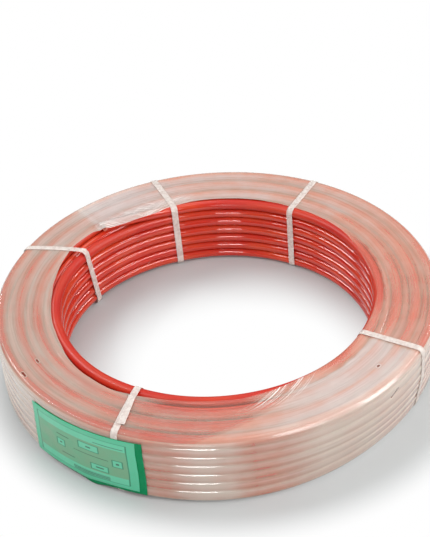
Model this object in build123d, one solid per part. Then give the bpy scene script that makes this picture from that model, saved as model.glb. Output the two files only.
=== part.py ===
from build123d import *
from math import acos, atan2, ceil, cos, degrees, hypot, pi, radians, sin, sqrt
import os

# Lengths in millimetres, bearings in degrees from +X towards +Y, +Z up.
# The coil lies flat, its axis on Z, and stands on the straps' bottom runs at Z = 0.

# Pipe and winding
pipe_diameter = 20.0
pipe_wall = 2.0
bore_diameter = 586.0      # clear across the innermost turns
turns_high = 7             # in the full layers, one fewer in those nested between
layers_deep = 7
turn_squash = 0.15         # each side of a turn is pressed flat by this much
flat_angle = 45.0          # a wound turn's round is drawn in flats no wider than this

# Free inner end: it lies on top of the innermost layer
end_bearing = 132.0
end_open_depth = 60.0      # hollow length that shows in the cut end
end_flats = 12             # flats round the pipe's whole round there
drop_arc = 96.0            # bearing range over which the top turn steps down one pitch

# Stretch film
film_thickness = 0.6       # many wraps pulled tight
film_gap = 0.2
film_cling = 40.0          # degrees each side of a turn's crest that it follows on the outer wall
film_turn_in = 55.0        # degrees past the top that it reaches round the innermost turn
film_edge_back = 16.5      # its opening is wider than the bore by this much all round
film_edge_shift = 13.0     # and off centre, towards this bearing
film_edge_bearing = 200.0

# Straps
strap_width = 13.0
strap_thickness = 0.8
strap_gap = 0.3
strap_flats = 3            # flats round each of its corners
strap_runs = [             # bearings on the outer wall, at the bore's top and at its bottom
    (57.6, 57.1, 56.8),
    (105.9, 104.2, 103.5),
    (152.9, 147.6, 143.7),
    (242.8, 240.5, 240.0),
    (328.5, 328.5, 328.5),
]
lapped_strap = 3           # the one whose welded tail shows, counted from 0
tail_length = 78.0
tail_turn = 11.0           # degrees that the tail lies askew on its strap

# Label on its backing card: width round the wall, height, middle's bearing and drop
card_thickness = 0.6
card_gap = 0.2
label_width, label_height = 225.0, 119.0
label_bearing, label_drop = 231.9, 3.4
backing_width, backing_height = 234.0, 121.0
backing_bearing, backing_drop = 234.0, 6.4

# Worked out from the above
pipe_radius = pipe_diameter / 2
turn_pitch = pipe_diameter - 2 * turn_squash
layer_pitch = turn_pitch * sqrt(3) / 2
first_radius = bore_diameter / 2 + pipe_radius
film_low = strap_thickness + strap_gap
lowest_turn = film_low + film_thickness + film_gap + pipe_radius
last_layer = layers_deep - 1
top_turn = lowest_turn + turn_pitch * (turns_high - 1)
film_high = top_turn + pipe_radius + film_gap + film_thickness
last_radius = first_radius + layer_pitch * last_layer
film_outer = last_radius + pipe_radius + film_gap + film_thickness
film_opening = bore_diameter / 2 + film_edge_back
strap_corner = (pipe_radius + strap_gap) / cos(pi / 4 / strap_flats)
backing_inside = hypot(film_outer + strap_gap + strap_thickness, strap_width / 2) + card_gap
label_inside = backing_inside + card_thickness + card_gap


def turn_centre(layer, turn):
    """Centre of a turn in the (radius, height) section; odd layers nest half a pitch up."""
    nested = layer % 2
    return Vector(first_radius + layer_pitch * layer, lowest_turn + turn_pitch * (turn + nested / 2))


def turns_in(layer):
    return turns_high - layer % 2


def round_flats(centre, radius, start, finish):
    """Points round a turn's centre between two angles, as even flats with one point at the middle."""
    halves = ceil(abs(finish - start) / 2 / flat_angle)
    angles = [start + (finish - start) * k / (2 * halves) for k in range(2 * halves + 1)]
    return [centre + Vector(radius, 0).rotate(Axis.Z, angle) for angle in angles]


def turned(points):
    """A closed outline of (radius, height) points turned round Z."""
    return revolve(Plane.XZ * make_face(Polyline(*points, close=True)), axis=Axis.Z)


def ring_of_turns():
    """Boundary turns in order round the winding, without the innermost top one."""
    bore_side = [turn_centre(0, t) for t in range(turns_high - 1)]
    top = [turn_centre(i, turns_in(i) - 1) for i in range(1, last_layer)]
    outer_side = [turn_centre(last_layer, t) for t in reversed(range(turns_in(last_layer)))]
    bottom = [turn_centre(i, 0) for i in reversed(range(1, last_layer))]
    return bore_side + top + outer_side + bottom


def winding_bed():
    """The nested turns as one turned solid, scalloped on its bore, its wall and both faces."""
    centres = ring_of_turns()
    groove = degrees(acos(turn_pitch / pipe_diameter))
    points = []
    for k, here in enumerate(centres):
        before, after = centres[k - 1] - here, centres[(k + 1) % len(centres)] - here
        start = degrees(atan2(before.Y, before.X)) - groove
        sweep = (start - degrees(atan2(after.Y, after.X)) - groove) % 360
        points += round_flats(here, pipe_radius, start, start - sweep)[:-1]
    return turned(points)


def top_turn_piece(radius, arc):
    """A level piece of the innermost top turn, from the free end towards falling bearings."""
    face = Plane.XZ * (Pos(first_radius, top_turn) * RegularPolygon(radius, end_flats))
    return Rot(0, 0, end_bearing - arc) * revolve(face, axis=Axis.Z, revolution_arc=arc)


def dropping_piece():
    """The rest of that turn, an arc of a circle in a tilted plane that steps down one pitch."""
    sink = turn_pitch / (1 - cos(radians(drop_arc)))
    tilted = Axis((0, 0, top_turn - sink), (sink, 0, -first_radius))
    face = Plane.XZ * (Pos(first_radius, top_turn) * RegularPolygon(pipe_radius, end_flats))
    return Rot(0, 0, end_bearing + drop_arc) * revolve(face, axis=tilted, revolution_arc=drop_arc)


def pipe_coil():
    coil = winding_bed() + top_turn_piece(pipe_radius, 360 - drop_arc) + dropping_piece()
    open_arc = end_open_depth / first_radius * 180 / pi
    return coil - top_turn_piece(pipe_radius - pipe_wall, open_arc)


def film_side(proud):
    """One side of the film: flat over both faces, dipping between the turns of the wall."""
    radius = pipe_radius + proud
    wall = [turn_centre(last_layer, t) for t in reversed(range(turns_high))]
    points = round_flats(turn_centre(0, turns_high - 1), radius, 90 + film_turn_in, 90)
    points += round_flats(wall[0], radius, 90, -film_cling)
    for centre in wall[1:-1]:
        points += round_flats(centre, radius, film_cling, -film_cling)
    points += round_flats(wall[-1], radius, film_cling, -90)
    return points + round_flats(turn_centre(0, 0), radius, -90, -90 - film_turn_in)


def stretch_film():
    """The film over both faces and the outer wall, open in the middle by an off-centre circle."""
    film = turned(film_side(film_gap) + film_side(film_gap + film_thickness)[::-1])
    shift = Rot(0, 0, film_edge_bearing) * Pos(film_edge_shift, 0, 0)
    opening = shift * Cylinder(film_opening, 3 * film_high)
    return film - opening


def strap_stations(on_wall, bore_top, bore_bottom):
    """Corner points of the band as (radius, height, angle of its outward side, bearing)."""
    inner, outer = bore_diameter / 2 - strap_gap, film_outer + strap_gap
    low, high = film_low - strap_gap, film_high + strap_gap
    near, far = inner + strap_corner, outer - strap_corner
    corners = [
        (far, high - strap_corner, 0, on_wall),
        (near, high - strap_corner, 90, bore_top),
        (near, low + strap_corner, 180, bore_bottom),
        (far, low + strap_corner, 270, on_wall),
    ]
    stations = []
    for radius, height, start, bearing in corners:
        for k in range(strap_flats + 1):
            angle = radians(start + 90 * k / strap_flats)
            point = (radius + strap_corner * cos(angle), height + strap_corner * sin(angle))
            stations.append((*point, angle, bearing))
    return stations


def strap_section(radius, height, angle, bearing):
    """The band's cross-section at one station: its inner side lies on the station."""
    lift = Vector(cos(angle), 0, sin(angle)) * strap_thickness
    inside = [Vector(radius, side * strap_width / 2, height) for side in (-1, 1)]
    points = inside + [point + lift for point in reversed(inside)]
    return Rot(0, 0, bearing) * make_face(Polyline(*points, close=True))


def strap(bearings, tail=False):
    """A flat band pulled tight round the wound section, slanting where its corners differ."""
    sections = [strap_section(*station) for station in strap_stations(*bearings)]
    half = len(sections) // 2
    band = loft(sections[: half + 1], ruled=True) + loft(sections[half:] + sections[:1], ruled=True)
    if tail:
        middle = (first_radius + last_radius) / 2
        slope = radians(bearings[0] - bearings[1]) * middle / (last_radius - first_radius)
        top = film_high + strap_gap + strap_thickness * 1.5
        place = Rot(0, 0, (bearings[0] + bearings[1]) / 2) * Pos(middle, 0, top)
        lap = Box(tail_length, strap_width, strap_thickness)
        band += place * Rot(0, 0, degrees(slope) + tail_turn) * lap
    return band


def card(inside, width, height, bearing, drop):
    """A card bent round the outer wall, its middle below the coil's own middle height."""
    arc = degrees(width / inside)
    middle = Pos(inside + card_thickness / 2, (film_low + film_high) / 2 - drop)
    face = Plane.XZ * (middle * Rectangle(card_thickness, height))
    return Rot(0, 0, bearing - arc / 2) * revolve(face, axis=Axis.Z, revolution_arc=arc)


parts = {"pipe_coil": pipe_coil(), "stretch_film": stretch_film()}
for number, bearings in enumerate(strap_runs):
    parts[f"strap_{number + 1}"] = strap(bearings, tail=number == lapped_strap)
parts["label_backing"] = card(
    backing_inside, backing_width, backing_height, backing_bearing, backing_drop
)
parts["label"] = card(label_inside, label_width, label_height, label_bearing, label_drop)

os.makedirs("parts", exist_ok=True)
for name, shape in parts.items():
    export_step(shape, f"parts/{name}.step")
    print(name, round(shape.volume), shape.is_valid)
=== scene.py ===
import bpy
import numpy as np
from mathutils import Matrix, Vector


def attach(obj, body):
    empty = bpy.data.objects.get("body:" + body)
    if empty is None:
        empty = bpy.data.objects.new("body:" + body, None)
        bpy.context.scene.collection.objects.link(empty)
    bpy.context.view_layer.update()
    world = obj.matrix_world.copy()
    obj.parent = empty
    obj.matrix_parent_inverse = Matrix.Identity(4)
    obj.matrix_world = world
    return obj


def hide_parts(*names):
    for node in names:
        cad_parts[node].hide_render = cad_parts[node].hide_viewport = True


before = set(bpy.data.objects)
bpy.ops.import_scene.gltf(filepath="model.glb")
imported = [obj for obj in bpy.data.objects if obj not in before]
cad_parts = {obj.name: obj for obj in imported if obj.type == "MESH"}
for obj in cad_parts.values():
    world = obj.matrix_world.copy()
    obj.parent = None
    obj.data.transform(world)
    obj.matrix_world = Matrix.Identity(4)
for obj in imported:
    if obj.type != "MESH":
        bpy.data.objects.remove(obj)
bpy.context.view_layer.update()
scene = bpy.context.scene
print("frame loaded, nodes:", ", ".join(sorted(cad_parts)))

# Shapes are worked out in millimetres and degrees: bearings run from +X towards +Y, heights from the floor.


def addObject(name, data):
    made = bpy.data.objects.new(name, data)
    scene.collection.objects.link(made)
    return made


# Camera

cameraView = {
    "place": (0.0, -2.1898, 1.8020),   # metres
    "aim": (0.0012, 0.0, 0.1913),
    "roll": -4.397,
    "lens": 98.14,
}


def makeCamera(view):
    place, aim = Vector(view["place"]), Vector(view["aim"])
    back = (place - aim).normalized()
    right = Vector((0, 0, 1)).cross(back).normalized()
    turn = Matrix((right, back.cross(right), back)).transposed()
    turn = turn @ Matrix.Rotation(np.radians(view["roll"]), 3, "Z")
    data = bpy.data.cameras.new("camera")
    data.lens = view["lens"]
    made = addObject("camera", data)
    made.matrix_world = Matrix.Translation(place) @ turn.to_4x4()
    scene.camera = made


makeCamera(cameraView)
print("camera placed")


# Studio lamps

lamps = {
    # azimuth, elevation, distance and size in metres, strength in watts
    "upperRight": (334, 50, 2.8, (2.2, 0.07), 21),
    "frontLeft": (256, 16.5, 3.0, (0.9, 0.28), 24),
    "frontRight": (313, 34, 3.0, (2.0, 0.3), 17),
    "backLeft": (160, 38, 2.8, (1.7, 0.14), 27),
    "left": (196, 50, 2.8, (1.3, 0.14), 15),
    "backLow": (133, 21, 2.8, (0.8, 0.12), 6),
    "backRight": (30, 36, 2.8, (1.6, 0.08), 14),
    "right": (352, 23, 3.0, (2.2, 0.4), 27),
    "back": (84, 46, 3.0, (1.1, 1.0), 5),
    "above": (90, 84, 2.8, (1.4, 1.4), 6),
}
lampAim = Vector((0, 0, 0.07))


def makeLamp(name, azimuth, elevation, distance, size, watts):
    data = bpy.data.lights.new(name, "AREA")
    data.shape = "RECTANGLE"
    data.size, data.size_y = size
    data.energy = watts
    a, e = np.radians(azimuth), np.radians(elevation)
    towards = Vector((np.cos(e) * np.cos(a), np.cos(e) * np.sin(a), np.sin(e)))
    made = addObject(name, data)
    made.location = lampAim + towards * distance
    made.rotation_euler = towards.to_track_quat("Z", "Y").to_euler()


for lampName, lampValues in lamps.items():
    makeLamp(lampName, *lampValues)


# Small helpers for node trees

def setSocket(tree, socket, value):
    # a link from another node's socket, or a fixed value
    if isinstance(value, bpy.types.NodeSocket):
        tree.links.new(value, socket)
    else:
        socket.default_value = value


def addNode(tree, kind, inputs=None, **settings):
    made = tree.nodes.new("ShaderNode" + kind)
    for key, value in settings.items():
        setattr(made, key, value)
    for key, value in (inputs or {}).items():
        setSocket(tree, made.inputs[key], value)
    return made


def mathNode(tree, operation, first, second=0.0, third=0.0, clamp=False):
    made = addNode(tree, "Math", {0: first, 1: second, 2: third}, operation=operation, use_clamp=clamp)
    return made.outputs[0]


def times(tree, first, second):
    return mathNode(tree, "MULTIPLY", first, second)


def plus(tree, first, second, clamp=False):
    return mathNode(tree, "ADD", first, second, clamp=clamp)


def minus(tree, first, second, clamp=False):
    return mathNode(tree, "SUBTRACT", first, second, clamp=clamp)


def aboutMiddle(tree, value, amount):
    # a value from 0 to 1 as a swing of that amount about 0
    return times(tree, minus(tree, value, 0.5), amount)


def vectorNode(tree, operation, first, second=(0.0, 0.0, 0.0), output="Vector"):
    return addNode(tree, "VectorMath", {0: first, 1: second}, operation=operation).outputs[output]


def scaleVector(tree, vector, scale):
    return addNode(tree, "VectorMath", {0: vector, "Scale": scale}, operation="SCALE").outputs[0]


def noiseNode(tree, vector, scale, detail, fourth=None):
    inputs = {"Vector": vector, "Scale": scale, "Detail": detail}
    if fourth is None:
        return addNode(tree, "TexNoise", inputs).outputs[0]
    return addNode(tree, "TexNoise", {**inputs, "W": fourth}, noise_dimensions="4D").outputs[0]


def blendColours(tree, factor, first, second):
    return addNode(tree, "Mix", {0: factor, 6: first, 7: second}, data_type="RGBA").outputs[2]


def spread(tree, value, low, high, toLow=0.0, toHigh=1.0):
    inputs = {0: value, 1: low, 2: high, 3: toLow, 4: toHigh}
    return addNode(tree, "MapRange", inputs, interpolation_type="SMOOTHSTEP").outputs[0]


def objectPlace(tree):
    return addNode(tree, "TexCoord").outputs["Object"]


def painted(tree, name):
    # a value painted on the piece's vertices
    return addNode(tree, "Attribute", attribute_name=name).outputs["Fac"]


def newMaterial(name):
    made = bpy.data.materials.new(name)
    made.use_nodes = True
    made.node_tree.nodes.clear()
    return made, made.node_tree, addNode(made.node_tree, "OutputMaterial")


def bumpNode(tree, height, strength, distance):
    return addNode(tree, "Bump", {"Height": height, "Strength": strength, "Distance": distance}).outputs[0]


def showSurface(tree, output, values):
    tree.links.new(addNode(tree, "BsdfPrincipled", values).outputs[0], output.inputs[0])


def newGroup(name, inputs, outputs=("Value",)):
    tree = bpy.data.node_groups.new(name, "ShaderNodeTree")
    for label, value in inputs.items():
        socket = tree.interface.new_socket(label, in_out="INPUT", socket_type="NodeSocketFloat")
        socket.default_value = value
    for label in outputs:
        tree.interface.new_socket(label, in_out="OUTPUT", socket_type="NodeSocketFloat")
    return tree, tree.nodes.new("NodeGroupInput").outputs, tree.nodes.new("NodeGroupOutput").inputs


def useGroup(tree, group, **inputs):
    made = tree.nodes.new("ShaderNodeGroup")
    made.node_tree = group
    for key, value in inputs.items():
        setSocket(tree, made.inputs[key.replace("_", " ")], value)
    return made.outputs


# Floor and surroundings

plainWhite = (1, 1, 1, 1)
floorLook = {
    "size": 14.0,
    # painted shade: a mid grey that shows only near the coil, where the white glow gives way
    "colour": (0.51, 0.525, 0.525, 1),
    "patches": (0.54, 0.555, 0.555, 1),
    "lift": 0.02,   # a faint glow that lights nothing
    # painted light: where it turns into a white glow that only the camera and mirrors see, outside and in the bore, so
    # its shade shows only near the coil: a middle, and the distances where that starts and ends
    "clear": [((0.025, -0.01, 0.0), 0.43, 0.515), ((0.04, -0.09, 0.0), 0.36, 0.19)],
}
surroundings = {"low": 0.07, "high": 0.32, "tint": (0.96, 0.98, 1.0, 1)}


def makeFloor(look):
    half = look["size"] / 2
    mesh = bpy.data.meshes.new("floor")
    mesh.from_pydata([(-half, -half, 0), (half, -half, 0), (half, half, 0), (-half, half, 0)], [], [(0, 1, 2, 3)])
    made = addObject("floor", mesh)
    material, tree, output = newMaterial("paleFloor")
    grain = noiseNode(tree, objectPlace(tree), 3.0, 4.0)
    matte = addNode(tree, "BsdfDiffuse", {"Color": blendColours(tree, grain, look["colour"], look["patches"])})
    path = addNode(tree, "LightPath").outputs
    seen = mathNode(tree, "MAXIMUM", path["Is Camera Ray"], path["Is Glossy Ray"])
    seen = mathNode(tree, "MAXIMUM", seen, path["Is Transmission Ray"])
    glow = addNode(tree, "Emission", {"Color": plainWhite, "Strength": times(tree, seen, look["lift"])})
    lit = addNode(tree, "AddShader", {0: matte.outputs[0], 1: glow.outputs[0]})
    white = addNode(tree, "Emission", {"Color": plainWhite, "Strength": 1.0})
    # painted light: away from the coil and in the middle of the bore the floor is a white glow to camera and mirror
    # rays, laid over its shade
    clear = 0.0
    for middle, starts, ends in look["clear"]:
        away = vectorNode(tree, "DISTANCE", objectPlace(tree), middle, "Value")
        clear = plus(tree, clear, spread(tree, away, starts, ends), clamp=True)
    surface = addNode(tree, "MixShader", {0: times(tree, clear, seen), 1: lit.outputs[0], 2: white.outputs[0]})
    tree.links.new(surface.outputs[0], output.inputs[0])
    mesh.materials.append(material)


def makeSurroundings(look):
    world = bpy.data.worlds.new("softRoom")
    scene.world = world
    world.use_nodes = True
    tree = world.node_tree
    tree.nodes.clear()
    output = addNode(tree, "OutputWorld")
    height = addNode(tree, "SeparateXYZ", {0: addNode(tree, "TexCoord").outputs["Generated"]}).outputs["Z"]
    strength = spread(tree, height, 0.0, 0.8, look["low"], look["high"])   # darker towards the horizon
    room = addNode(tree, "Background", {"Color": look["tint"], "Strength": strength})
    white = addNode(tree, "Background", {"Color": plainWhite, "Strength": 1.0})
    seen = addNode(tree, "LightPath").outputs["Is Camera Ray"]
    both = addNode(tree, "MixShader", {0: seen, 1: room.outputs[0], 2: white.outputs[0]})
    tree.links.new(both.outputs[0], output.inputs[0])


makeFloor(floorLook)
makeSurroundings(surroundings)
scene.view_settings.view_transform = "Standard"
print("floor, surroundings and", len(lamps), "lamps made")


# Curves and grids

def ease(t):
    # 3t² − 2t³ between 0 and 1, level outside
    t = np.clip(t, 0, 1)
    return t * t * (3 - 2 * t)


def apart(bearing, middle):
    # signed degrees between two bearings, from -180 to 180
    return (bearing - middle + 180) % 360 - 180


def hump(bearing, middle, halfWidth):
    # raised cosine over a range of bearings, 1 at its middle and 0 from its half width on
    return 0.5 + 0.5 * np.cos(np.pi * np.clip(np.abs(apart(bearing, middle)) / halfWidth, 0, 1))


def wander(bearing, seed, size, slowest=2, quickest=13):
    # sum of six cosines of whole turns per revolution, each with a seeded phase
    waves = 6
    rng = np.random.default_rng(seed)
    orders = rng.integers(slowest, quickest, waves)
    phases = rng.uniform(0, 2 * np.pi, waves)
    angles = np.radians(np.asarray(bearing, float))[..., None] * orders + phases
    return size * np.cos(angles).sum(-1) / (waves / 2)


def polar(bearing, radius, height):
    a = np.radians(bearing)
    return np.stack([radius * np.cos(a), radius * np.sin(a), height + 0 * a], -1)


sagging = {
    "bearing": 318, "halfWidth": 52,
    "inwards": 11.0, "upwards": 5.0,
    "fromRadius": 340, "overRadius": 66,
    "fadeHeight": 92,
}


def settle(points):
    # The coil leans at its front right: its outer lower turns sit further in and a little up.
    # The move is a raised cosine over bearing, times an ease over radius, times one that fades with height.
    radius = np.hypot(points[..., 0], points[..., 1])
    bearing = np.degrees(np.arctan2(points[..., 1], points[..., 0]))
    share = hump(bearing, sagging["bearing"], sagging["halfWidth"])
    share = share * ease((radius - sagging["fromRadius"]) / sagging["overRadius"])
    share = share * ease(1 - points[..., 2] / sagging["fadeHeight"])
    moved = points * np.stack([1 - sagging["inwards"] * share / radius] * 2 + [np.ones_like(share)], -1)
    moved[..., 2] += sagging["upwards"] * share
    return moved


def addPiece(name, points, faces, node):
    # A smooth mesh on the coil's body, in the place of one of the frame's nodes.
    mesh = bpy.data.meshes.new(name)
    mesh.from_pydata((points.reshape(-1, 3) / 1000).tolist(), [], faces)
    mesh.polygons.foreach_set("use_smooth", np.ones(len(mesh.polygons), bool))
    mesh.update()
    made = addObject(name, mesh)
    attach(made, "root")
    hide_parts(node)
    return made


def gridFaces(rows, columns, aroundClosed, alongClosed):
    # Four-sided faces between neighbouring rows and columns; either way may close on itself.
    index = np.arange(rows * columns).reshape(rows, columns)
    if alongClosed:
        index = np.concatenate([index, index[:1]])
    if aroundClosed:
        index = np.concatenate([index, index[:, :1]], 1)
    return np.stack([index[:-1, :-1], index[:-1, 1:], index[1:, 1:], index[1:, :-1]], -1).reshape(-1, 4)


def gridPiece(name, points, node, aroundClosed=False, alongClosed=False, caps=False):
    rows, columns = points.shape[:2]
    faces = gridFaces(rows, columns, aroundClosed, alongClosed).tolist()
    if caps:
        first = np.arange(columns)
        faces += [first[::-1].tolist(), (first + (rows - 1) * columns).tolist()]
    return addPiece(name, points, faces, node)


def paintValue(piece, name, values):
    # one number for each vertex, read by the piece's material
    layer = piece.data.attributes.new(name, "FLOAT", "POINT")
    layer.data.foreach_set("value", np.ascontiguousarray(values, np.float32).ravel())
    return piece


def tubeAlong(path, ahead, radius, sides):
    # A round profile carried along a path: centre + radius (cos a · outward + sin a · up), where outward
    # is level and square to the way ahead, and up is square to both. The path may turn back inside itself.
    ahead = ahead / np.linalg.norm(ahead, axis=1, keepdims=True)
    outward = path * (1, 1, 0)
    outward = outward - (outward * ahead).sum(1, keepdims=True) * ahead
    outward /= np.linalg.norm(outward, axis=1, keepdims=True)
    up = np.cross(ahead, outward)
    angle = np.linspace(0, 2 * np.pi, sides, endpoint=False)[None, :, None]
    return path[:, None] + radius[:, None, None] * (np.cos(angle) * outward[:, None] + np.sin(angle) * up[:, None])


# Pipe coil

winding = {
    "pipeRadius": 9.85,
    "pipeWall": 2.0,
    "firstRadius": 303.0,
    "layerPitch": 17.061,
    "turnPitch": 19.7,
    "lowestTurn": 11.9,
    "turnsHigh": 7,
    "layersDeep": 7,
}
innerTurns = {
    "endBearing": 132,
    "climbArc": 32,   # the free end climbs onto the next layer over this range
    "climb": (18.5, 10.8),   # outwards and upwards
    "rim": [(0, 1.0), (0.25, 0.25), (0.8, 0), (1.3, 0), (1.8, 0.15), (2.0, 1.2)],   # inwards, and back from the cut
    "hollow": (1.6, 60, 14),   # from and to behind the cut, and in how many rings
    "stepEnd": 95,   # each turn has stepped down one pitch by this bearing
    "stepStarts": (180, 194, 209, 228, 252, 252),   # and starts to at these, from the top turn down
    "topLift": (33, 36, 2.5),   # bearing, half width and height where the top turn stands off
    # painted shade: the pipe material also darkens this turn towards deep red between these degrees
    "matt": (35, 400),   # its top turn is handled and matt between these degrees passed
    "slip": (2400, 80, 17),   # degrees passed, range and reach of the last turn's way outwards
    "length": 2535,   # degrees passed at the far end
    "uneven": (0.35, 0.25, 0.12),   # in radius, and slowly in radius and height
    "perTurn": 420,
    "sides": 24,
}
topTurn = winding["lowestTurn"] + winding["turnPitch"] * (winding["turnsHigh"] - 1)
lastRadius = winding["firstRadius"] + winding["layerPitch"] * (winding["layersDeep"] - 1)


def freeEnd(passed):
    # share climbed: the square of the share of the range still to go to the cut end
    return np.clip(1 - passed / innerTurns["climbArc"], 0, None) ** 2


def liftAt(bearing):
    middle, halfWidth, height = innerTurns["topLift"]
    return height * hump(bearing, middle, halfWidth)


def innerPath(passed):
    # The innermost layer as one line, by the degrees passed from the cut end towards falling bearings.
    # Height: level turns, joined by an ease down one pitch in each revolution. The last turn slips outwards.
    it = innerTurns
    bearing = it["endBearing"] - passed
    climbed = freeEnd(passed)
    radius = winding["firstRadius"] + it["climb"][0] * climbed
    height = topTurn + it["climb"][1] * climbed
    for k, start in enumerate(it["stepStarts"]):
        begin = it["endBearing"] - start + 360 * (k + 1)
        finish = it["endBearing"] - it["stepEnd"] + 360 * (k + 1)
        height = height - winding["turnPitch"] * ease((passed - begin) / (finish - begin))
    height = height + liftAt(bearing) * (passed < 200)   # only on its first way round
    slipFrom, slipOver, slipBy = it["slip"]
    radius = radius + slipBy * ease((passed - slipFrom) / slipOver)
    loose = 1 - climbed
    quick, slow, rise = it["uneven"]
    radius = radius + loose * (wander(bearing, 11, quick) + slow * np.cos(np.radians(passed * 0.83)))
    height = height + loose * rise * np.cos(np.radians(passed * 1.31 + 40))
    return polar(bearing, radius, height)


def makeInnerTurns():
    # One tube: back along the path to the cut end, round its rim and down inside it.
    it, w = innerTurns, winding
    passed = np.linspace(0, it["length"], int(it["length"] / 360 * it["perTurn"]))[1:]
    perMillimetre = 360 / (2 * np.pi * (w["firstRadius"] + it["climb"][0]))
    rim, rimBack = np.array(it["rim"]).T
    inside = np.linspace(*it["hollow"])
    back = np.concatenate([passed[::-1], rimBack * perMillimetre, inside * perMillimetre])
    bore = w["pipeRadius"] - w["pipeWall"]
    radius = np.concatenate([np.full(len(passed), w["pipeRadius"]), w["pipeRadius"] - rim, np.full(len(inside), bore)])
    radius = radius * (1 + 0.012 * np.cos(np.radians(back * 2.2)))
    ahead = innerPath(back - 0.05) - innerPath(back + 0.05)
    points = tubeAlong(innerPath(back), ahead, radius, it["sides"])
    made = gridPiece("innerTurns", points, "pipe_coil", aroundClosed=True, caps=True)
    matt = ease((back - it["matt"][0]) / 20) * ease((it["matt"][1] - back) / 40)
    cut = np.arange(len(back)) >= len(passed)
    paintValue(made, "mattShadedTurn", np.repeat(matt, it["sides"]))
    return paintValue(made, "cutFace", np.repeat(cut, it["sides"]))


def layerRings(layer):
    # radius and heights of one layer's turns; odd layers nest half a pitch up and have one fewer
    nested = layer % 2
    levels = np.arange(winding["turnsHigh"] - nested) + nested / 2
    return winding["firstRadius"] + winding["layerPitch"] * layer, winding["lowestTurn"] + winding["turnPitch"] * levels


def makeRings(name, layers, perTurn, sides, drift):
    # Closed turns of the given layers, one ring after another in one mesh.
    bearing = np.linspace(0, 360, perTurn, endpoint=False)
    thick = np.full(perTurn, winding["pipeRadius"])
    rings = []
    for layer in layers:
        radius, levels = layerRings(layer)
        for k, level in enumerate(levels):
            seed = 100 * layer + k
            height = level + wander(bearing, seed + 50, drift * 0.4)
            line = polar(bearing, radius + wander(bearing, seed, drift), height)
            rings.append(settle(tubeAlong(line, np.roll(line, -1, 0) - np.roll(line, 1, 0), thick, sides)))
    faces = gridFaces(perTurn, sides, True, True) + (np.arange(len(rings)) * perTurn * sides)[:, None, None]
    return addPiece(name, np.array(rings), faces.reshape(-1, 4).tolist(), "pipe_coil")


pipePieces = [
    makeInnerTurns(),
    makeRings("secondTurns", [1], 240, 20, 0.25),
    makeRings("nestedTurns", [2, 3, 4, 5], 170, 16, 0.2),
    makeRings("outerTurns", [6], 240, 16, 0.12),
]
# painted shade: the pipe material also darkens these turns under the film towards deep red
for piece in pipePieces[2:]:
    paintValue(piece, "mattShadedTurn", np.ones(len(piece.data.vertices)))   # the film takes their shine
print("pipe turns made")


# Stretch film

film = {
    "standOff": 0.85,   # from the pipe's surface to the film's middle
    "sag": 0.6,   # between two crests of the top face
    "tent": (7, 0.85),   # over the free end: half width of its round top, and the slope of its sides
    "shoulder": (62, 20),   # degrees up the top turn between which the shoulder is straight
    # its ridges on the wall: below each turn's middle it slopes out, then runs gently back in to the next
    "ridge": {"from": 3.5, "to": 5.65, "inner": 9.8, "outer": 11.12},
    "columns": 600,
    "faceRows": 62,
    # bearing and radius of its edge round the bore, seen at the height of the top face
    "edge": [
        (10, 293), (33, 302), (53, 305), (74, 310), (93, 309), (102, 304), (112, 297), (120, 298), (126, 301),
        (131, 306), (133, 312), (136, 325), (146, 328), (161, 318), (178, 310), (201, 312), (216, 322), (233, 325),
        (243, 318), (253, 314), (267, 311), (275, 312), (285, 307), (295, 301), (315, 297), (330, 298), (353, 300),
    ],
    "bottomEdge": 312,
    "uneven": (0.2, 71, 60),   # the most the wall stands out, and about which height and how far
    # fine creases: degrees past the wrap's line or bearings, from and to, then the radius reached and their share
    "wrapCreases": (-13, 9, 352, 1.0),
    "endCreases": (92, 134, 350, 0.8),
    "creaseHeight": 0.45,
}


def edgeRadius(bearing):
    # straight between the listed bearings, then smoothed by a short running mean
    known = np.array(film["edge"], float)
    fine = np.arange(0, 360, 0.5)
    radius = np.interp(fine, known[:, 0], known[:, 1], period=360)
    reach = 5
    window = np.hanning(2 * reach + 1)
    padded = np.concatenate([radius[-reach:], radius, radius[:reach]])
    radius = np.convolve(padded, window / window.sum(), "valid")
    return np.interp(bearing % 360, fine, radius, period=360) + wander(bearing, 5, 0.5, 12, 60)


def topFace(bearing, reach):
    # Radius and height of the film's top face, by its reach outwards from the innermost turn's crest.
    # Past the crest it goes round that turn; from there outwards it sags between the crests of every
    # second layer, and it lies over the free end like a tent.
    w = winding
    over = w["pipeRadius"] + film["standOff"]
    angle = np.clip(-reach / over, 0, 1.1)
    swing = np.sin(np.pi * np.clip(reach, 0, None) / (2 * w["layerPitch"])) ** 2
    radius = w["firstRadius"] + np.where(reach < 0, -over * np.sin(angle), reach)
    height = np.where(reach < 0, topTurn + over * np.cos(angle), topTurn + over - film["sag"] * swing ** 0.8)
    height = height + liftAt(bearing) * (1 - ease(reach / 30))
    passed = innerTurns["endBearing"] - apart(bearing, 0) % 360
    climbed = freeEnd(passed) * (passed > -2.5) * (passed < 40)
    endHeight = topTurn + innerTurns["climb"][1] * climbed
    off = np.abs(radius - w["firstRadius"] - innerTurns["climb"][0] * climbed)
    half, slope = film["tent"]
    roundTop = np.sqrt(np.clip(over**2 - off**2, 1, None))
    tent = endHeight + np.where(off < half, roundTop, np.sqrt(over**2 - half**2) - slope * (off - half))
    fade = ease((passed + 2.5) / 2.0) * ease((36 - passed) / 10)
    return radius, height + fade * np.clip(tent - height, 0, None)


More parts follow.
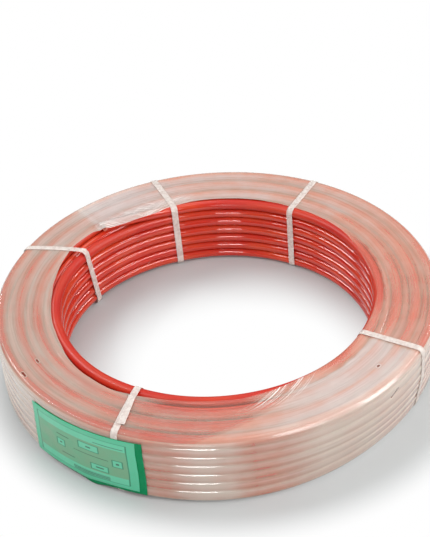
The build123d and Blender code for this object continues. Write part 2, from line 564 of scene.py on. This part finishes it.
def wallProfile():
    # The outer wall and the bottom face as one line of (radius, height): round the shoulder, which is drawn
    # straight across its middle, then for each turn a short slope outwards and a long curve back in, round
    # the lower shoulder, and on under the coil.
    w, ridge = winding, film["ridge"]
    over = w["pipeRadius"] + film["standOff"]
    upper, lower = film["shoulder"]
    middle, half = np.radians((upper + lower) / 2), np.radians((upper - lower) / 2)
    straight = np.radians(np.linspace(upper - 6, lower + 6, 5))
    angle = np.concatenate([np.radians(np.linspace(90, upper, 5)), straight, np.radians(np.linspace(lower, 6, 4))])
    taut = np.concatenate([np.full(5, over), over * np.cos(half) / np.cos(straight - middle), np.full(4, over)])
    points = [np.stack([lastRadius + taut * np.cos(angle), topTurn + taut * np.sin(angle)], -1)]
    slope = np.array([0, 0.3, 0.7, 1.0])
    share = np.linspace(0, 1, 9)[1:-1]
    depth = ridge["outer"] - ridge["inner"]
    rise = ridge["to"] - ridge["from"]
    for k in range(w["turnsHigh"] - 1):
        level = topTurn - w["turnPitch"] * k
        out = ridge["inner"] + depth * slope
        points.append(np.stack([lastRadius + out, level - ridge["from"] - rise * slope], -1))
        down = ridge["to"] + (w["turnPitch"] - rise) * share
        points.append(np.stack([lastRadius + ridge["outer"] - depth * share ** 1.6, level - down], -1))
    angle = np.radians(np.linspace(-12, -90, 10))
    points.append(np.stack([lastRadius + over * np.cos(angle), w["lowestTurn"] + over * np.sin(angle)], -1))
    inner = np.linspace(lastRadius - 8, film["bottomEdge"], 14)
    low = w["lowestTurn"] - over + 0.9 * np.sin(np.pi * (lastRadius - inner) / (2 * w["layerPitch"])) ** 2
    points.append(np.stack([inner, low], -1))
    return np.concatenate(points)


coverage = {
    # bearing, then how much the film hides of the pipe where it bridges two turns and where it clings to one
    "top": [
        (0, 0.48, 0.38), (20, 0.54, 0.44), (45, 0.62, 0.52), (80, 0.68, 0.58), (104, 0.74, 0.66), (128, 0.84, 0.76),
        (134, 0.72, 0.58), (160, 0.72, 0.46), (190, 0.72, 0.42), (225, 0.64, 0.4), (252, 0.46, 0.33),
        (272, 0.42, 0.33), (284, 0.52, 0.41), (300, 0.6, 0.48), (326, 0.58, 0.46), (334, 0.5, 0.38), (350, 0.46, 0.38),
    ],
    "wall": [
        (0, 0.78, 0.7), (60, 0.74, 0.62), (120, 0.76, 0.68), (180, 0.88, 0.84), (216, 0.88, 0.82), (236, 0.76, 0.6),
        (248, 0.64, 0.46), (256, 0.66, 0.5), (263, 0.84, 0.72), (270, 0.8, 0.68), (276, 0.62, 0.44), (284, 0.66, 0.5),
        (293, 0.84, 0.74), (330, 0.86, 0.8),
    ],
    # where it's thin near the bore: middle and half width by bearing, and the radius it reaches
    "thin": [(312, 30, 328), (264, 28, 340), (5, 34, 318)],
    "thinBy": 0.4,
    # half widths of the strips that touch a turn, on the top face and on the wall
    "clingWidth": 9.5, "wallCling": 5.5,
    # a further wrap starts along this line of (radius, bearing) and ends at a bearing
    "wrapLine": [(300, 297), (335, 287), (360, 278), (415, 260)],
    "wrapEnd": 328,
    "wrapCover": 0.2,
    "foldLine": [(318, 133), (350, 132), (415, 130.5)],
    # painted shade: how grey and dark the film is made by bearing, on the top face and on the wall
    "paintedShade": [
        (0, 0.45, 0.4), (20, 0.35, 0.4), (60, 0.25, 0.35), (100, 0.1, 0.3), (128, 0.05, 0.3), (136, 0.55, 0.3),
        (190, 0.9, 0.55), (235, 0.9, 0.7), (265, 0.9, 0.6), (300, 0.65, 0.75), (340, 0.5, 0.4),
    ],
}


def coverAt(table, bearing):
    known = np.array(table, float)
    return [np.interp(bearing % 360, known[:, 0], known[:, k], period=360) for k in (1, 2)]


def pastLine(line, bearing, radius):
    # degrees past a line of (radius, bearing)
    known = np.array(line, float)
    return apart(bearing, np.interp(radius, known[:, 0], known[:, 1]))


def filmCover(bearing, radius, height, onTop):
    # How much of the pipe the film hides: the bridging value, going to the clinging value by a bell curve
    # of the distance from the nearest crest, on the top face by radius and on the wall by height.
    w, c = winding, coverage
    width = c["clingWidth"] * (1 + wander(bearing, 21, 0.35, 2, 9))
    fromCrest = np.abs((radius - w["firstRadius"] + w["layerPitch"]) % (2 * w["layerPitch"]) - w["layerPitch"])
    bridging, clinging = coverAt(c["top"], bearing)
    top = bridging + (clinging - bridging) * np.exp(-((fromCrest / width) ** 2))
    fromTurn = np.abs((height - w["lowestTurn"] + w["turnPitch"] / 2) % w["turnPitch"] - w["turnPitch"] / 2)
    bridging, clinging = coverAt(c["wall"], bearing)
    wall = bridging + (clinging - bridging) * np.exp(-((fromTurn / c["wallCling"]) ** 2))
    cover = np.where(onTop, top, wall)
    past = pastLine(c["wrapLine"], bearing, radius)
    wrapped = ease(past / 3) * ease(apart(c["wrapEnd"], bearing) / 2) * onTop
    lip = hump(past, 0, 1.6) * onTop
    folded = hump(pastLine(c["foldLine"], bearing, radius), 0, 1.5) * onTop
    for middle, halfWidth, reaches in c["thin"]:
        within = ease((reaches + wander(bearing, 41, 1.3, 9, 60) - radius) / 10)
        cover = cover - c["thinBy"] * hump(bearing, middle, halfWidth) * within * onTop
    # painted shade: the film greyed by bearing, less so under a further wrap
    paintedShadeTop, paintedShadeWall = coverAt(c["paintedShade"], bearing)
    paintedShade = np.where(onTop, paintedShadeTop * (1 - 0.5 * wrapped), paintedShadeWall)
    return cover + c["wrapCover"] * wrapped + 0.1 * lip + 0.12 * folded, paintedShade


def makeFilm():
    bearing = np.linspace(0, 360, film["columns"], endpoint=False)
    start = edgeRadius(bearing) - winding["firstRadius"]
    share = np.linspace(0, 1, film["faceRows"])[None, :-1] ** 1.05
    reach = start[:, None] + (lastRadius - winding["firstRadius"] - start)[:, None] * share
    radius, height = topFace(np.broadcast_to(bearing[:, None], reach.shape), reach)
    wall = wallProfile()
    topColumns = radius.shape[1]
    uneven = wander(bearing, 31, 0.35, 2, 7)[:, None] * np.cos(wall[:, 1] / 17.0)
    most, middle, half = film["uneven"]
    wallRadius = wall[:, 0] + np.clip(uneven, 0, most) * (np.abs(wall[:, 1] - middle) < half)
    radius = np.concatenate([radius, wallRadius], 1)
    height = np.concatenate([height, np.broadcast_to(wall[:, 1], wallRadius.shape)], 1)
    around = np.broadcast_to(bearing[:, None], radius.shape)
    column = np.broadcast_to(np.arange(radius.shape[1]), radius.shape)
    onTop = column < topColumns + 8
    cover, paintedShade = filmCover(around, radius, height, onTop)
    cover[:, 0] += 0.12   # its edge
    # fine creases run along the wrap's line, and in the film drawn over the free end
    past = pastLine(coverage["wrapLine"], around, radius)
    start, end, reaches, share = film["wrapCreases"]
    creased = share * ease((past - start) / 6) * ease((end - past) / 8) * ease((reaches - radius) / 20)
    start, end, reaches, share = film["endCreases"]
    atEnd = share * ease((around - start) / 8) * ease((end - around) / 2) * ease((reaches - radius) / 30)
    creased = np.maximum(creased, atEnd) * onTop
    ripple = np.sin(np.radians(past) * 75) + 0.6 * np.sin(np.radians(past) * 131 + radius * 0.11)
    height = height + film["creaseHeight"] * creased * ripple * (column > 1)
    place = settle(polar(around, radius, height))
    made = gridPiece("stretchFilm", place, "stretch_film", alongClosed=True)
    paintValue(made, "cover", cover)
    paintValue(made, "paintedShade", paintedShade)
    paintValue(made, "creased", creased)
    paintValue(made, "gloss", column > topColumns - 4)
    return paintValue(made, "acrossCreases", np.radians(past) * radius / 1000)


filmPiece = makeFilm()
print("film made")


# Straps

strapping = {
    "width": 13.0,
    "thickness": 0.7,
    "outer": 11.3, "inner": 10.4, "high": 11.15,   # past the middles of the last layer, the first and the top turn
    "low": 0.75,
    "rounding": 10.5,
    # bearings on the outer wall, at the bore's top and at its bottom
    "runs": [
        (57.6, 57.1, 56.8), (105.9, 104.2, 103.5), (152.9, 147.6, 143.7), (242.8, 240.5, 240.0), (328.5, 328.5, 328.5),
    ],
    "tail": {"from": (240.9, 324), "to": (243.4, 396), "lift": 1.0, "gap": 0.05},   # bearing and radius of its ends
}


def strapLine(run):
    # Round the section as (radius, height, angle of the outward side, bearing): straight runs joined by
    # quarter rounds, the bearing changing evenly along each straight run.
    rounding = strapping["rounding"]
    far, near = lastRadius + strapping["outer"] - rounding, winding["firstRadius"] - strapping["inner"] + rounding
    high, low = topTurn + strapping["high"] - rounding, strapping["low"] + rounding
    corners = [(far, high, 0, run[0]), (near, high, 90, run[1]), (near, low, 180, run[2]), (far, low, 270, run[0])]
    stations = []
    for radius, height, start, bearing in corners:
        for angle in np.linspace(start, start + 90, 9):
            a = np.radians(angle)
            stations.append((radius + rounding * np.cos(a), height + rounding * np.sin(a), angle, bearing))
    first = stations[0]
    stations = np.array(stations + [(first[0], first[1], 360, first[3])])
    length = np.concatenate([[0], np.cumsum(np.hypot(np.diff(stations[:, 0]), np.diff(stations[:, 1])))])
    even = np.union1d(np.linspace(0, length[-1], 160, endpoint=False), length[:-1])
    return np.stack([np.interp(even, length, stations[:, k]) for k in range(4)], -1), even


def bandRing():
    # the band's cross-section: places across it and lifts from its inner side, with rounded edges
    across = np.array([-1, -0.94, -0.5, 0, 0.5, 0.94, 1, 0.94, 0.5, 0, -0.5, -0.94]) * strapping["width"] / 2
    lift = np.array([0.5, 0.95, 1, 1, 1, 0.95, 0.5, 0.05, 0, 0, 0, 0.05]) * strapping["thickness"]
    return across, lift


def paintBand(piece, along, across):
    paintValue(piece, "alongBand", np.repeat(along / 1000, len(across)))
    return paintValue(piece, "acrossBand", np.tile(across / strapping["width"] * 2, len(along)))


def makeStrap(number, run):
    line, along = strapLine(run)
    across, lift = bandRing()
    angle, bearing = np.radians(line[:, 2:3]), np.radians(line[:, 3:4])
    radius = line[:, :1] + np.cos(angle) * lift
    points = np.stack([
        radius * np.cos(bearing) - across * np.sin(bearing),
        radius * np.sin(bearing) + across * np.cos(bearing),
        line[:, 1:2] + np.sin(angle) * lift,
    ], -1)
    name, node = f"strapBand{number}", f"strap_{number}"
    made = gridPiece(name, settle(points), node, aroundClosed=True, alongClosed=True)
    return paintBand(made, along, across)


def makeTail():
    # The welded end lies askew on its strap: a straight band whose two ends lift off a little.
    tail = strapping["tail"]
    level = topTurn + strapping["high"] + strapping["thickness"] + tail["gap"]
    first, last = polar(*tail["from"], level), polar(*tail["to"], level)
    share = np.linspace(0, 1, 26)
    across, lift = bandRing()
    middle = first + (last - first) * share[:, None]
    middle[:, 2] += tail["lift"] * np.abs(2 * share - 1) ** 4
    length = np.linalg.norm(last - first)
    ahead = (last - first) / length
    side = np.array([-ahead[1], ahead[0], 0])
    points = middle[:, None] + across[None, :, None] * side + lift[None, :, None] * np.array([0, 0, 1])
    made = gridPiece("strapTail", points, "strap_4", aroundClosed=True, caps=True)
    return paintBand(made, share * length, across)


strapPieces = [makeStrap(k + 1, run) for k, run in enumerate(strapping["runs"])] + [makeTail()]
print("straps made")


# Label on its backing card

cards = {
    "label": {
        "node": "label", "slot": "mint_label", "radius": 418.3, "thickness": 0.45,
        # bearing and height of each corner: lower left and right, upper left and right
        "corners": [(216.5, 8.0), (247.9, 14.5), (216.5, 120.5), (248.2, 127.0)],
        "ripple": 0.5, "lowerWave": 2.5,
    },
    "backing": {
        "node": "label_backing", "slot": "green_card", "radius": 417.6, "thickness": 0.45,
        "corners": [(218.0, 8.5), (249.7, 8.5), (217.6, 122.0), (249.9, 127.3)],
        "ripple": 0.3, "lowerWave": 6.5,
    },
}


def makeCard(name, card):
    # A sheet between four corners bent round the wall: both ways straight between the corners, its lower
    # edge waved, and lifted from the wall by slow ripples that grow towards its edges.
    u, v = np.meshgrid(np.linspace(0, 1, 72), np.linspace(0, 1, 44), indexing="ij")
    lowerLeft, lowerRight, upperLeft, upperRight = np.array(card["corners"])
    lower = lowerLeft + (lowerRight - lowerLeft) * u[..., None]
    upper = upperLeft + (upperRight - upperLeft) * u[..., None]
    place = lower + (upper - lower) * v[..., None]
    bearing, height = place[..., 0], place[..., 1]
    wave = card["lowerWave"] * (1 - v) ** 6 * np.exp(-(((u - 0.55) / 0.09) ** 2))
    height = height - wave + 0.8 * (1 - v) ** 3 * np.sin(9 * u)
    bearing = bearing + 0.18 * np.sin(5 * v + 0.4) * (2 * u - 1)
    edge = np.maximum(np.abs(2 * u - 1), np.abs(2 * v - 1)) ** 4
    ripple = 0.5 + 0.5 * np.sin(7.5 * np.pi * v + 1.2 * np.sin(4 * u)) * np.cos(3.1 * u + 0.4)
    radius = card["radius"] + card["ripple"] * ripple * (0.35 + 0.65 * edge)
    made = gridPiece(name, polar(bearing, radius, height), card["node"])
    uvMap = made.data.uv_layers.new(name="print")
    corners = np.empty(len(made.data.loops), np.int32)
    made.data.loops.foreach_get("vertex_index", corners)
    uvMap.data.foreach_set("uv", np.stack([u.ravel(), v.ravel()], -1)[corners].astype(np.float32).ravel())
    thick = made.modifiers.new("thickness", "SOLIDIFY")
    thick.thickness = card["thickness"] / 1000
    thick.offset = 1
    return made


labelPiece = makeCard("labelSheet", cards["label"])
backingPiece = makeCard("backingCard", cards["backing"])
print("label made")


# Effects that several materials share

def groupWindingLines():
    # Fine lines that run with the turns: noise over direction, height and radius, drawn out along the winding.
    tree, start, end = newGroup("windingLines", {"Lines": 400.0, "Drift": 4.0, "Detail": 3.0})
    place = objectPlace(tree)
    level = vectorNode(tree, "MULTIPLY", place, (1, 1, 0))
    radius = vectorNode(tree, "LENGTH", level, output="Value")
    facing = scaleVector(tree, vectorNode(tree, "NORMALIZE", level), start["Drift"])
    parts = addNode(tree, "SeparateXYZ", {0: facing}).outputs
    height = times(tree, addNode(tree, "SeparateXYZ", {0: place}).outputs["Z"], start["Lines"])
    vector = addNode(tree, "CombineXYZ", {0: parts[0], 1: parts[1], 2: height}).outputs[0]
    noise = noiseNode(tree, vector, 1.0, start["Detail"], times(tree, radius, start["Lines"]))
    tree.links.new(noise, end["Value"])
    return tree


def groupClouds():
    # Soft patches of one size.
    tree, start, end = newGroup("clouds", {"Size": 0.05, "Seed": 0.0, "Low": 0.35, "High": 0.65})
    scale = mathNode(tree, "DIVIDE", 1.0, start["Size"])
    noise = noiseNode(tree, objectPlace(tree), scale, 4.0, start["Seed"])
    tree.links.new(spread(tree, noise, start["Low"], start["High"]), end["Value"])
    return tree


def linesAt(tree, lines, drift, detail):
    return useGroup(tree, windingLines, Lines=lines, Drift=drift, Detail=detail)["Value"]


def cloudsAt(tree, size, seed, low=0.3, high=0.7):
    return useGroup(tree, clouds, Size=size, Seed=seed, Low=low, High=high)["Value"]


def groupScuffs():
    # Sparse short rub marks that run with the turns, 0 to 1.
    tree, start, end = newGroup("scuffs", {"Lines": 300.0, "Amount": 0.3})
    lines = linesAt(tree, start["Lines"], 22.0, 2.0)
    patches = cloudsAt(tree, 0.03, 7.0, 0.5, 0.72)
    limit = minus(tree, 0.78, times(tree, start["Amount"], 0.3))
    tree.links.new(times(tree, spread(tree, lines, limit, plus(tree, limit, 0.06)), patches), end["Value"])
    return tree


def groupHole():
    # A short stroke between two points given by its middle and half of its length: 1 inside its radius,
    # by the distance from the nearest point of the line between them, with a soft border.
    values = {"X": 0.0, "Y": 0.0, "Z": 0.0, "Half X": 0.0, "Half Y": 0.0, "Half Z": 0.001, "Radius": 0.003}
    tree, start, end = newGroup("hole", values, ["Inside", "Rim"])
    place = objectPlace(tree)
    centre, half = [addNode(tree, "CombineXYZ", dict(enumerate(start[k:k + 3]))).outputs[0] for k in (0, 3)]
    offset = vectorNode(tree, "SUBTRACT", place, centre)
    along = vectorNode(tree, "DOT_PRODUCT", offset, half, "Value")
    whole = vectorNode(tree, "DOT_PRODUCT", half, half, "Value")
    share = addNode(tree, "Clamp", {0: mathNode(tree, "DIVIDE", along, whole), 1: -1.0, 2: 1.0}).outputs[0]
    off = vectorNode(tree, "DISTANCE", offset, scaleVector(tree, half, share), "Value")
    off = plus(tree, off, aboutMiddle(tree, noiseNode(tree, place, 350.0, 2.0), 0.003))   # a rough border
    share = mathNode(tree, "DIVIDE", off, start["Radius"])
    inside = spread(tree, share, 1.15, 0.85)
    tree.links.new(inside, end["Inside"])
    tree.links.new(minus(tree, spread(tree, share, 2.1, 1.5), inside, clamp=True), end["Rim"])
    return tree


def groupPrintedBox():
    # A printed rectangle between two places across and two up the sheet, 1 inside.
    values = {"U": 0.0, "V": 0.0, "Left": 0.0, "Right": 1.0, "Bottom": 0.0, "Top": 1.0}
    tree, start, end = newGroup("printedBox", values)
    value = 1.0
    across, up = 0.004, 0.006   # how soft its sides are
    for further, nearer, soft in (("U", "Left", across), ("Right", "U", across), ("V", "Bottom", up), ("Top", "V", up)):
        value = times(tree, value, spread(tree, minus(tree, start[further], start[nearer]), -soft, soft))
    tree.links.new(value, end["Value"])
    return tree


windingLines = groupWindingLines()
clouds = groupClouds()
scuffs = groupScuffs()
hole = groupHole()
printedBox = groupPrintedBox()


# Materials

pipeLook = {
    "red": (0.60, 0.024, 0.008, 1),
    "deep": (0.43, 0.009, 0.007, 1),
    "orange": (0.70, 0.085, 0.022, 1),
    "rub": (0.80, 0.30, 0.22, 1),
    "cut": (0.80, 0.33, 0.24, 1),
    "roughness": (0.08, 0.15),
    "matt": 0.32,          # how much rougher a matt turn is
    "coat": (0.6, 0.05),   # on a shiny turn and on a matt one
}


def pipeMaterial(look):
    material, tree, output = newMaterial("redPipe")
    lines = linesAt(tree, 420.0, 5.0, 4.0)
    bands = linesAt(tree, 60.0, 3.0, 2.0)
    patches = cloudsAt(tree, 0.12, 1.0)
    rubs = useGroup(tree, scuffs, Lines=340.0, Amount=0.35)["Value"]
    matt = painted(tree, "mattShadedTurn")
    colour = blendColours(tree, spread(tree, bands, 0.35, 0.65, 0.0, 0.55), look["red"], look["orange"])
    for share, layer in (
        (times(tree, patches, 0.35), "deep"),
        (spread(tree, lines, 0.55, 0.75, 0.0, 0.22), "orange"),
        (times(tree, rubs, 0.4), "rub"),
        (times(tree, painted(tree, "cutFace"), 0.8), "cut"),
        # painted shade: matt turns are darkened towards deep red: the handled top turn, and the turns under the film
        (times(tree, matt, 0.3), "deep"),
    ):
        colour = blendColours(tree, share, colour, look[layer])
    rough = plus(tree, spread(tree, lines, 0.3, 0.7, *look["roughness"]), times(tree, rubs, 0.2))
    shiny, mattCoat = look["coat"]
    height = plus(tree, times(tree, lines, 0.7), times(tree, bands, 0.6))
    showSurface(tree, output, {
        "Base Color": colour,
        "Roughness": plus(tree, rough, times(tree, matt, look["matt"])),
        "Normal": bumpNode(tree, height, 0.02, 0.0005),
        "Coat Weight": mathNode(tree, "MULTIPLY_ADD", matt, mattCoat - shiny, shiny),
        "Coat Roughness": 0.05,
    })
    return material


filmLook = {
    "white": (0.79, 0.70, 0.625, 1),
    # painted shade: a darker white for the film on the top face
    "shadedTopWhite": (0.62, 0.57, 0.54, 1),
    # painted highlight: the white of the glints along its creases
    "creaseHighlight": (0.93, 0.89, 0.85, 1),
    "warm": (0.76, 0.53, 0.37, 1),
    # painted shade: the grey that the film is darkened towards
    "paintedShade": (0.51, 0.455, 0.37, 1),
    "shade": 0.45,   # how much of its cover still counts for the light it lets through
    # painted shade: a dark brown for what shows through its tears
    "gap": (0.16, 0.045, 0.025, 1),
    # its small tears: bearing, radius and height of both ends, and their half width
    "tears": [
        ((316.4, 415.6, 117), (313.8, 415.6, 107), 1.5), ((327.0, 412.5, 68), (324.2, 412.5, 55), 1.4),
        ((210.8, 404, 141), (209.2, 404, 141), 2.1), ((207.7, 368, 140.8), (206.5, 368, 140.8), 1.9),
        ((317.3, 371, 140.8), (316.7, 371, 140.8), 2.2),
    ],
}


def filmTears(tree, tears):
    # 1 inside a tear and 1 on its rim
    torn, rims = 0.0, 0.0
    for first, last, size in tears:
        ends = [polar(*first) / 1000, polar(*last) / 1000]
        x, y, z = ((ends[0] + ends[1]) / 2).tolist()
        halfX, halfY, halfZ = ((ends[1] - ends[0]) / 2).tolist()
        tear = useGroup(tree, hole, X=x, Y=y, Z=z, Half_X=halfX, Half_Y=halfY, Half_Z=halfZ, Radius=size / 1000)
        torn = mathNode(tree, "MAXIMUM", torn, tear["Inside"])
        rims = mathNode(tree, "MAXIMUM", rims, tear["Rim"])
    return torn, rims


def filmMaterial(look):
    material, tree, output = newMaterial("stretchedFilm")
    creased, gloss = painted(tree, "creased"), painted(tree, "gloss")
    lines = linesAt(tree, 220.0, 3.0, 2.0)
    broad = linesAt(tree, 42.0, 2.6, 1.5)
    patches = cloudsAt(tree, 0.035, 3.0)
    slow = scaleVector(tree, objectPlace(tree), 9.0)
    streaks = noiseNode(tree, slow, 1.0, 3.0, times(tree, painted(tree, "acrossCreases"), 520.0))
    # painted highlight: glints along the creases, which raise the film's cover and whiten its colour
    glint = times(tree, creased, spread(tree, streaks, 0.54, 0.63))
    alpha = painted(tree, "cover")
    for value, amount in ((lines, 0.24), (broad, 0.28), (patches, 0.08)):
        alpha = plus(tree, alpha, aboutMiddle(tree, value, amount))
    alpha = plus(tree, alpha, times(tree, glint, 0.6))
    alpha = mathNode(tree, "MAXIMUM", alpha, 0.18)
    # painted shade: inside each tear the film turns more opaque and dark brown; on its rim it only turns more opaque
    torn, rims = filmTears(tree, look["tears"])
    alpha = plus(tree, alpha, times(tree, plus(tree, rims, torn), 0.35), clamp=True)
    # painted shade: the top face takes the darker white, the wall and shoulder the lighter one
    white = blendColours(tree, gloss, look["shadedTopWhite"], look["white"])
    colour = blendColours(tree, spread(tree, alpha, 0.42, 0.82), look["warm"], white)
    # painted shade: the film greyed and darkened by bearing, broken up by patches
    paintedShade = times(tree, painted(tree, "paintedShade"), spread(tree, patches, 0.0, 1.0, 0.8, 1.0))
    for share, layer in ((paintedShade, "paintedShade"), (times(tree, glint, 0.9), "creaseHighlight"), (torn, "gap")):
        colour = blendColours(tree, share, colour, look[layer])
    rough = minus(tree, spread(tree, lines, 0.3, 0.7, 0.22, 0.36), times(tree, gloss, 0.12))
    shadow = addNode(tree, "LightPath").outputs["Is Shadow Ray"]
    passes = minus(tree, 1.0, times(tree, shadow, 1 - look["shade"]))
    height = plus(tree, times(tree, lines, 0.5), times(tree, times(tree, streaks, creased), 3.0))
    height = plus(tree, height, times(tree, patches, 0.3))
    showSurface(tree, output, {
        "Base Color": colour,
        "Roughness": rough,
        "Alpha": times(tree, alpha, passes),
        "Normal": bumpNode(tree, height, 0.08, 0.0010),
        "Coat Weight": mathNode(tree, "MULTIPLY_ADD", gloss, 0.5, 0.15),
        "Coat Roughness": 0.08,
    })
    return material


strapLook = {"white": (0.86, 0.79, 0.73, 1), "pink": (0.80, 0.62, 0.56, 1), "alpha": (0.85, 0.60)}


def strapMaterial(look):
    material, tree, output = newMaterial("whiteStrapping")
    along, across = painted(tree, "alongBand"), painted(tree, "acrossBand")
    # crossed fine ribs pressed into the band, with a plain edge at each side
    along = times(tree, along, 3600.0)
    ribs = [mathNode(tree, "SINE", plus(tree, along, times(tree, across, slant))) for slant in (23.0, -23.0)]
    inner = spread(tree, mathNode(tree, "ABSOLUTE", across), 0.9, 0.78)
    weave = times(tree, mathNode(tree, "MAXIMUM", *ribs), inner)
    mottle = cloudsAt(tree, 0.006, 5.0, 0.35, 0.7)
    patches = cloudsAt(tree, 0.03, 9.0)
    half = times(tree, mottle, 0.5)
    showSurface(tree, output, {
        "Base Color": blendColours(tree, half, look["white"], look["pink"]),
        "Roughness": spread(tree, mottle, 0.0, 1.0, 0.3, 0.5),
        "Alpha": spread(tree, plus(tree, half, times(tree, patches, 0.5)), 0.0, 1.0, *look["alpha"]),
        "Normal": bumpNode(tree, weave, 0.4, 0.0003),
    })
    return material


labelLook = {
    "mint": (0.08, 0.52, 0.30, 1),
    "pale": (0.12, 0.58, 0.36, 1),
    "field": (0.16, 0.36, 0.20, 1),
    "frame": (0.010, 0.21, 0.11, 1),
    "ink": (0.012, 0.06, 0.035, 1),
    # left, right, bottom and top, as shares of the sheet
    "panel": (0.055, 0.93, 0.07, 0.905),
    "fieldBox": (0.065, 0.92, 0.21, 0.77),
    "boxes": [
        (0.50, 0.675, 0.60, 0.72), (0.275, 0.345, 0.44, 0.56), (0.80, 0.875, 0.42, 0.545), (0.60, 0.745, 0.245, 0.35),
    ],
    "marks": [
        (0.565, 0.61, 0.645, 0.672), (0.30, 0.322, 0.485, 0.515),
        (0.825, 0.852, 0.465, 0.50), (0.64, 0.71, 0.285, 0.31),
    ],
    "rules": [
        (0.27, 0.40, 0.652, 0.668), (0.44, 0.76, 0.497, 0.508), (0.31, 0.44, 0.297, 0.312), (0.64, 0.90, 0.800, 0.812),
    ],
    "block": (0.42, 0.76, 0.085, 0.165),
    "rim": (0.012, 0.008), "boxRim": (0.010, 0.012),   # of the panel inwards and of a box outwards, across and up
}


def sheetPlace(tree):
    return addNode(tree, "SeparateXYZ", {0: addNode(tree, "UVMap", uv_map="print").outputs[0]}).outputs


def labelMaterial(look):
    material, tree, output = newMaterial("mintLabel")
    u, v = sheetPlace(tree)[:2]

    def box(place, grow=(0, 0)):
        left, right, bottom, top = place
        return useGroup(
            tree, printedBox, U=u, V=v,
            Left=left - grow[0], Right=right + grow[0], Bottom=bottom - grow[1], Top=top + grow[1],
        )["Value"]

    def printed(colour, share, layer):
        return blendColours(tree, share, colour, look[layer])

    colour = printed(look["mint"], box(look["panel"]), "frame")
    colour = printed(colour, box(look["panel"], [-rim for rim in look["rim"]]), "pale")
    blotches = cloudsAt(tree, 0.03, 11.0)
    field = printed(look["field"], times(tree, blotches, 0.35), "mint")
    colour = blendColours(tree, box(look["fieldBox"]), colour, field)
    for place in look["boxes"]:
        colour = printed(printed(colour, box(place, look["boxRim"]), "frame"), box(place), "pale")
    for place in look["marks"] + look["rules"]:
        colour = printed(colour, times(tree, box(place), 0.9), "ink")
    bars = spread(tree, mathNode(tree, "SINE", times(tree, v, 235.0)), -0.5, 0.1)
    colour = printed(colour, times(tree, times(tree, bars, box(look["block"])), 0.95), "ink")
    fibre = noiseNode(tree, objectPlace(tree), 420.0, 3.0)
    colour = printed(colour, spread(tree, fibre, 0.4, 0.7, 0.0, 0.18), "field")
    height = plus(tree, fibre, times(tree, blotches, 3.0))
    showSurface(tree, output, {
        "Base Color": colour,
        "Roughness": spread(tree, blotches, 0.0, 1.0, 0.32, 0.5),
        "Normal": bumpNode(tree, height, 0.3, 0.0005),
        "Coat Weight": 0.25,
        "Coat Roughness": 0.25,
    })
    return material


backingLook = {"green": (0.001, 0.225, 0.080, 1), "worn": (0.03, 0.33, 0.16, 1)}


def backingMaterial(look):
    material, tree, output = newMaterial("greenCard")
    u, v = sheetPlace(tree)[:2]
    blotches = cloudsAt(tree, 0.02, 13.0, 0.35, 0.7)
    fromEdge = mathNode(tree, "MINIMUM", minus(tree, 1.0, u), v)
    worn = times(tree, spread(tree, fromEdge, 0.012, 0.0), blotches)
    worn = plus(tree, worn, times(tree, blotches, 0.15), clamp=True)
    fibre = noiseNode(tree, objectPlace(tree), 500.0, 3.0)
    showSurface(tree, output, {
        "Base Color": blendColours(tree, worn, look["green"], look["worn"]),
        "Roughness": spread(tree, fibre, 0.3, 0.7, 0.38, 0.55),
        "Normal": bumpNode(tree, fibre, 0.25, 0.0004),
        "Specular IOR Level": 0.12,
    })
    return material


def dress(pieces, material):
    for piece in pieces:
        piece.data.materials.clear()
        piece.data.materials.append(material)


dress(pipePieces, pipeMaterial(pipeLook))
dress([filmPiece], filmMaterial(filmLook))
dress(strapPieces, strapMaterial(strapLook))
dress([labelPiece], labelMaterial(labelLook))
dress([backingPiece], backingMaterial(backingLook))
print("materials made")
